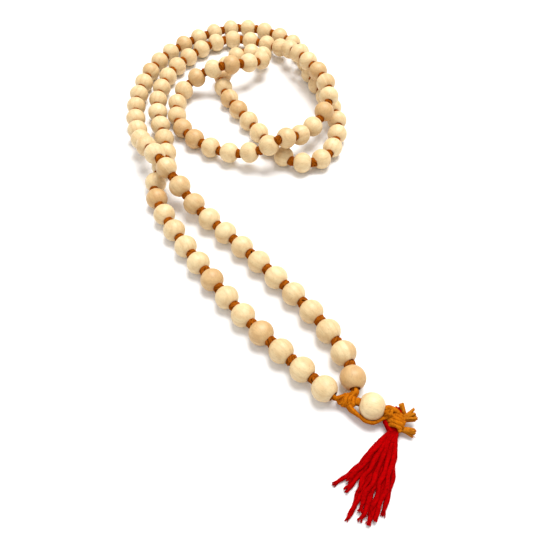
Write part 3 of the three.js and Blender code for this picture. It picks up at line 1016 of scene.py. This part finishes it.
class MALA_OT_collar(Operator):
    """Wind the collar of cord round the tassel's neck"""

    bl_idname = "mala.collar"
    bl_label = "Collar"

    def execute(self, context):
        rng = random.Random(83)
        centre = middle("collar_whipping")
        centre.z += 0.0003
        thick = context.scene.mala_cord.winding / 2
        shape = Shape("fibre")
        # Turns laid side by side: their place along the collar, how wide they lie and how they lean.
        turns = (
            (-1.95, 1.36, 0.30), (-1.0, 1.86, 0.45), (0.0, 2.06, 0.55), (1.0, 1.94, 0.45),
            (1.95, 1.44, 0.30),
        )
        loops = [
            (one_turn(
                44, 2.6 + number, TURN * 1.03, place, 0.5, lean, 0.4 - TURN / 4, girth, girth * 0.93,
            ), thick)
            for number, (place, girth, lean) in enumerate(turns)
        ]
        # The last turn is thrown across the others on the right and drawn under.
        thrown = one_turn(28, -0.21 * TURN, 0.425 * TURN, 0.0, 0.0, 1.5, 0.3, 2.2, 1.85)
        loops.append((thrown, thick * 0.9))
        for loop, wide in loops:
            path = by(centre, COLLAR_AXIS, COLLAR_SIDE, loop)
            spun_cord(shape, path, wide, rng, sides=14, lay=0.0026)
        cord_piece(shape, "wound_collar", context, "collar_whipping")
        return {"FINISHED"}


# Each frayed end that stands out of the collar: its heading, how far it starts from its solid's middle
# across the collar, its strands, and their reach and spread, in millimetres.
FRAYED_ENDS = {
    "tuft_top": ((-0.25, 0.85, 0.5), -1.7, 6, 2.9, 0.7),
    "tuft_upper": ((0.95, 0.14, 0.30), -0.4, 12, 3.7, 1.35),
    "tuft_lower": ((0.93, -0.26, 0.05), -0.4, 8, 3.6, 0.95),
}


# Each end has thick strands, and as many fine ones that reach further: how much longer and wider they
# go, and the range of their radii in metres.
FRAYED_STRANDS = ((1.0, 1.0, (0.00046, 0.00064)), (1.08, 1.1, (0.00012, 0.0002)))


class MALA_OT_tufts(Operator):
    """Fray the cut ends of cord that stand out of the collar"""

    bl_idname = "mala.tufts"
    bl_label = "Frayed ends"

    def execute(self, context):
        frayed = made_once(frayed_cotton)
        for number, (node, (heading, across, count, reach, spread)) in enumerate(FRAYED_ENDS.items()):
            rng = random.Random(200 + number)
            heading = Vector(heading).normalized()
            start = middle(node) - heading * 0.0020 + COLLAR_SIDE * across * MM
            shape = Shape("fibre")
            for longer, wider, thick in FRAYED_STRANDS:
                far, wide = reach * longer * MM, spread * wider * MM
                frayed_end(shape, start, heading, far, wide, count, rng, thick)
            finished(shape.build(f"frayed_{node}", frayed), "strand", "saffron_cotton", node)
        return {"FINISHED"}


# ---------------------------------------------------------------- tassel
# Each bundle's bearing from the tassel's heading in degrees, its length in metres, and its yarns: each
# one's lane across the bundle, its layer, and how its tip turns aside and falls short, in millimetres.
BUNDLES = (
    (-13.0, 0.0146, ((-0.55, 0, -1.3, 0.0), (0.55, 0, -0.4, 1.0), (0.0, 1, -0.6, 3.2))),
    (-8.5, 0.0160, ((-0.55, 0, -0.3, 2.0), (0.50, 0, 0.6, 0.6), (0.1, 1, 0.4, 4.0))),
    (0.0, 0.0202, ((-0.60, 0, -0.6, 0.0), (0.50, 0, 0.3, 1.4), (0.0, 1, -0.2, 3.4))),
    (4.5, 0.0186, ((-0.55, 0, 0.3, 1.6), (0.55, 0, -0.4, 0.0), (0.0, 1, 0.2, 2.6))),
    (9.5, 0.0186, ((-0.60, 0, -1.2, 0.2), (0.50, 0, -0.2, 3.8), (0.0, 1, -1.0, 1.6))),
)
ROOT_SPACING = 0.0012               # from one bundle's root to the next
FIBRE_RADIUS = 0.00005
FRAYED_YARN = (0.00013, 0.00022)    # the radii of the strands that a yarn frays into
SPLIT_SHARE = 0.55                  # how far down the neck each yarn is handed to its bundle


def stray_fibres(shape, rows, thick, count, rng):
    """Fibres that stand off a yarn. Real ones are 0.02 mm thick; these are coarser, to show."""
    for _ in range(count):
        i = rng.randrange(1, len(rows) - 2)
        k = rng.randrange(len(rows[i]))
        centre = sum(rows[i], Vector()) / len(rows[i])
        out = (rows[i][k] - centre).normalized()
        ahead = (rows[i + 1][k] - rows[i][k]).normalized() * rng.choice((-1, 1, 1, 1))
        far = rng.uniform(0.0006, 0.0016)
        lift = rng.uniform(0.25, 0.65) * thick
        path = [
            rows[i][k] - out * thick * 0.2,
            rows[i][k] + ahead * far * 0.5 + out * lift,
            rows[i][k] + ahead * far + out * lift * rng.uniform(0.6, 1.8),
        ]
        path = smooth_path(above(path, FIBRE_RADIUS * 1.2), 5)
        strand(shape, path, lambda s: FIBRE_RADIUS * (1.1 - 0.7 * s), 3, rng.uniform(0, 99))


class MALA_OT_tassel(Operator):
    """Lay the tassel's yarn, from inside the collar to its ragged tips"""

    bl_idname = "mala.tassel"
    bl_label = "Tassel"

    def execute(self, context):
        tassel = context.scene.mala_tassel
        red = made_once(crimson_yarn, context.scene.mala_colours)
        foot = middle("collar_whipping") + COLLAR_AXIS * (COLLAR_LENGTH / 2 + 2 * END_GAP)
        foot.z = 0.0
        root = foot + TASSEL_AXIS * (NECK_LENGTH + 2 * END_GAP)
        thick = tassel.yarn / 2
        neck = Shape("fibre")
        for b, (bearing, length, yarns) in enumerate(BUNDLES):
            bundle = Shape("fibre")
            rng = random.Random(500 + b)
            turn = Matrix.Rotation(math.radians(bearing), 3, "Z")
            heading, across = turn @ TASSEL_AXIS, turn @ TASSEL_SIDE
            bundle_root = root + TASSEL_SIDE * (b - 2) * ROOT_SPACING
            for lane, layer, aside, short in yarns:
                path = self.yarn_path(
                    rng, foot, bundle_root, heading, across, b, lane, layer, aside * MM,
                    length - short * MM, thick,
                )
                self.lay_yarn(neck, bundle, rng, tassel, foot, path, thick)
            made = bundle.build(f"yarn_bundle_{b + 1}", red)
            body = f"tassel_yarn_{b + 1}"
            if b == 2:
                finished(made, "tassel", "red_yarn", "tassel_yarn_3")
            else:
                finished(made, None, "red_yarn", body)
                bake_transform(made)
        made = neck.build("yarn_neck", red)
        finished(made, None, "red_yarn", "tassel_neck")
        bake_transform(made)
        self.lay_head(context, red, thick)
        return {"FINISHED"}

    def yarn_path(self, rng, foot, root, heading, across, b, lane, layer, aside, reach, thick):
        """One yarn's line, from inside the collar through its bundle's root to its tip."""
        floor = thick * 1.16
        high = floor + layer * thick * 1.62
        top = foot + TASSEL_SIDE * ((b - 2) * 0.00036 + lane * 0.00022) - TASSEL_AXIS * 0.0017
        top.z = 0.0021 + (layer - 0.5) * 0.0011
        gate = foot + TASSEL_SIDE * ((b - 2) * 0.00052 + lane * 0.0003) + TASSEL_AXIS * 0.0006
        gate.z = 0.0017 + (layer - 0.5) * 0.0012
        at_root = root + across * lane * 0.0011 + UP * high
        sway = rng.uniform(-1, 1) * 0.0003
        middle_way = at_root + heading * reach * 0.5 + across * (lane * 0.0007 + sway)
        middle_way.z = floor + layer * thick * 1.4
        tip = at_root + heading * reach + across * (lane * 0.0008 + aside)
        tip.z = floor + layer * thick * 0.9
        path = smooth_path([top, gate, at_root, middle_way, tip], 76)
        wave = Vector((lane * 9 + b, layer * 7.0, 3.0))
        for i, point in enumerate(path):
            share = i / (len(path) - 1)
            drift = noise.noise(wave + Vector((share * 6.5, 0.0, 0.0)))
            point += across * drift * 0.0008 * share * (1.6 - share)
        return path

    def lay_yarn(self, neck, bundle, rng, tassel, foot, path, thick):
        """One yarn, whose upper part goes to the neck and whose lower part goes to its bundle."""
        slim = 0.70                 # the yarns are drawn together in the collar
        fray = rng.uniform(0.04, 0.07)

        def width(share):
            grown = slim + (1 - slim) * min(1.0, max(0.0, (share - 0.08) / 0.26))
            return thick * grown * (1.0 - 0.35 * max(0.0, share - 1 + fray) / fray)

        relief = lobed(2, tassel.lay, 0.11, rng.uniform(0, 6.28))
        rows, reads = blunted(*strand_rows(path, width, 14, rng.uniform(0, 90), relief))
        split_at = foot + TASSEL_AXIS * NECK_LENGTH * SPLIT_SHARE
        split = next(i for i, p in enumerate(path) if (p - split_at).dot(TASSEL_AXIS) > 0) + 1
        for shape, part in ((neck, slice(0, split + 1)), (bundle, slice(split, None))):
            shape.rings(rows[part], reads[part])
        stray_fibres(bundle, rows[split:], thick, tassel.fuzz, rng)
        stray_fibres(neck, rows[:split], thick, tassel.fuzz // 4, rng)
        frayed_end(
            bundle, path[-4], (path[-1] - path[-6]).normalized(), 0.0022, thick * 1.05, 9, rng,
            FRAYED_YARN,
        )

    def lay_head(self, context, red, thick):
        """The yarn's folded head shows above the collar, and more of it on the collar's near side."""
        shape = Shape("fibre")
        head, collar = middle("tassel_head"), middle("collar_whipping")
        rng = random.Random(612)
        for lane in (-0.6, 0.1, 0.75):
            rows = (
                (2.4, lane * 0.8, -0.6), (0.9, lane, 0.0), (-0.35, lane, 0.45),
                (-0.6, lane * 0.9, -0.3), (0.6, lane * 0.8, -0.9),
            )
            path = smooth_path(by(head, COLLAR_AXIS, COLLAR_SIDE, rows), 26)
            strand(shape, path, thick * 0.8, 12, rng.uniform(0, 99), lobed(2, 0.005, 0.1, lane))
        for lift, out in ((-1.1, 0.1), (-0.4, 0.5), (0.3, 0.2)):
            rows = (
                (-1.9, -1.2, lift + 0.4), (-1.0, -2.2 - out, lift + 0.2), (0.6, -2.6 - out, lift),
                (2.0, -1.9, lift), (3.4, -0.9, lift * 0.6),
            )
            path = smooth_path(by(collar, COLLAR_AXIS, COLLAR_SIDE, rows), 30)
            path = above(path, thick * 0.95)
            strand(shape, path, thick * 0.85, 12, rng.uniform(0, 99), lobed(2, 0.005, 0.1, lift))
        finished(shape.build("yarn_head", red), "strand", "red_yarn", "tassel_head")


# ---------------------------------------------------------------- stage
# Each soft lamp's name, place, width and power; every one of them faces the middle of the strand.
LAMPS = (("soft_key", (0.13, 0.22, 0.72), 0.5, 7.4), ("soft_fill", (-0.45, -0.3, 0.7), 0.9, 1.2))
LENS = 36.25                        # millimetres on a 36 mm sensor
CAMERA_PITCH = 53.65                # degrees below level
CAMERA_PLACE = (0.0120, -0.1600, 0.1569)


class MALA_OT_stage(Operator):
    """Set out the paper floor, the soft lights and the camera"""

    bl_idname = "mala.stage"
    bl_label = "Stage"

    def execute(self, context):
        scene, colours = context.scene, context.scene.mala_colours
        reach, steps = 1.6, 8
        row = steps + 1
        places = [reach * (2 * i / steps - 1) for i in range(row)]
        points = [(x, y, 0.0) for y in places for x in places]
        corners = [j * row + i for j in range(steps) for i in range(steps)]
        faces = [(c, c + 1, c + row + 1, c + row) for c in corners]
        mesh = bpy.data.meshes.new("paper_floor")
        mesh.from_pydata(points, [], faces)
        mesh.materials.append(made_once(matt_paper, colours))
        floor = bpy.data.objects.new("paper_floor", mesh)
        scene.collection.objects.link(floor)

        world = scene.world or bpy.data.worlds.new("soft_room")
        scene.world = world
        world.use_nodes = True
        world.node_tree.nodes.clear()
        white = (1.0, 1.0, 1.0, 1.0)
        sky = add_node(world.node_tree, "ShaderNodeBackground", Color=white, Strength=0.58)
        add_node(world.node_tree, "ShaderNodeOutputWorld", Surface=sky)
        for name, place, size, power in LAMPS:
            lamp = bpy.data.lights.new(name, "AREA")
            lamp.shape, lamp.size, lamp.energy = "DISK", size, power
            lamp_object = bpy.data.objects.new(name, lamp)
            lamp_object.location = place
            lamp_object.rotation_euler = (-Vector(place)).to_track_quat("-Z", "Y").to_euler()
            scene.collection.objects.link(lamp_object)

        camera = bpy.data.cameras.new("camera")
        camera.sensor_width = 36.0
        camera.lens = LENS
        camera.clip_start, camera.clip_end = 0.01, 10.0
        holder = bpy.data.objects.new("camera", camera)
        x, y, z = CAMERA_PLACE
        holder.location = laid(x, y, z * PLAN_SCALE)
        holder.rotation_euler = (math.radians(90 - CAMERA_PITCH), 0.0, 0.0)
        scene.collection.objects.link(holder)
        scene.camera = holder
        scene.view_settings.view_transform = "Standard"
        return {"FINISHED"}


# ---------------------------------------------------------------- panel and registration
STEPS = (
    MALA_OT_stage, MALA_OT_stringing_cord, MALA_OT_guru_cords, MALA_OT_loose_beads, MALA_OT_bead_runs,
    MALA_OT_guru_bead, MALA_OT_knots, MALA_OT_join_knot, MALA_OT_collar, MALA_OT_tufts, MALA_OT_tassel,
)
GROUPS = (
    ("mala_beads", MalaBeadSettings), ("mala_cord", MalaCordSettings),
    ("mala_tassel", MalaTasselSettings), ("mala_colours", MalaColours),
)


class MALA_PT_panel(Panel):
    """Lists the mala's sizes, colours and pieces"""

    bl_label = "Mala"
    bl_idname = "MALA_PT_panel"
    bl_space_type = "VIEW_3D"
    bl_region_type = "UI"
    bl_category = "Mala"

    def draw(self, context):
        for name, group in GROUPS:
            box = self.layout.box()
            box.label(text=group.__doc__)
            for field in group.__annotations__:
                box.prop(getattr(context.scene, name), field)
        for step in STEPS:
            self.layout.operator(step.bl_idname)


def register():
    for name, group in GROUPS:
        bpy.utils.register_class(group)
        setattr(bpy.types.Scene, name, PointerProperty(type=group))
    for made in (*STEPS, MALA_PT_panel):
        bpy.utils.register_class(made)


def unregister():
    for made in reversed((*STEPS, MALA_PT_panel)):
        bpy.utils.unregister_class(made)
    for name, group in reversed(GROUPS):
        delattr(bpy.types.Scene, name)
        bpy.utils.unregister_class(group)


def main():
    register()
    for step in STEPS:
        area, action = step.bl_idname.split(".")
        getattr(getattr(bpy.ops, area), action)()
    bpy.context.view_layer.update()


if __name__ == "__main__":
    main()
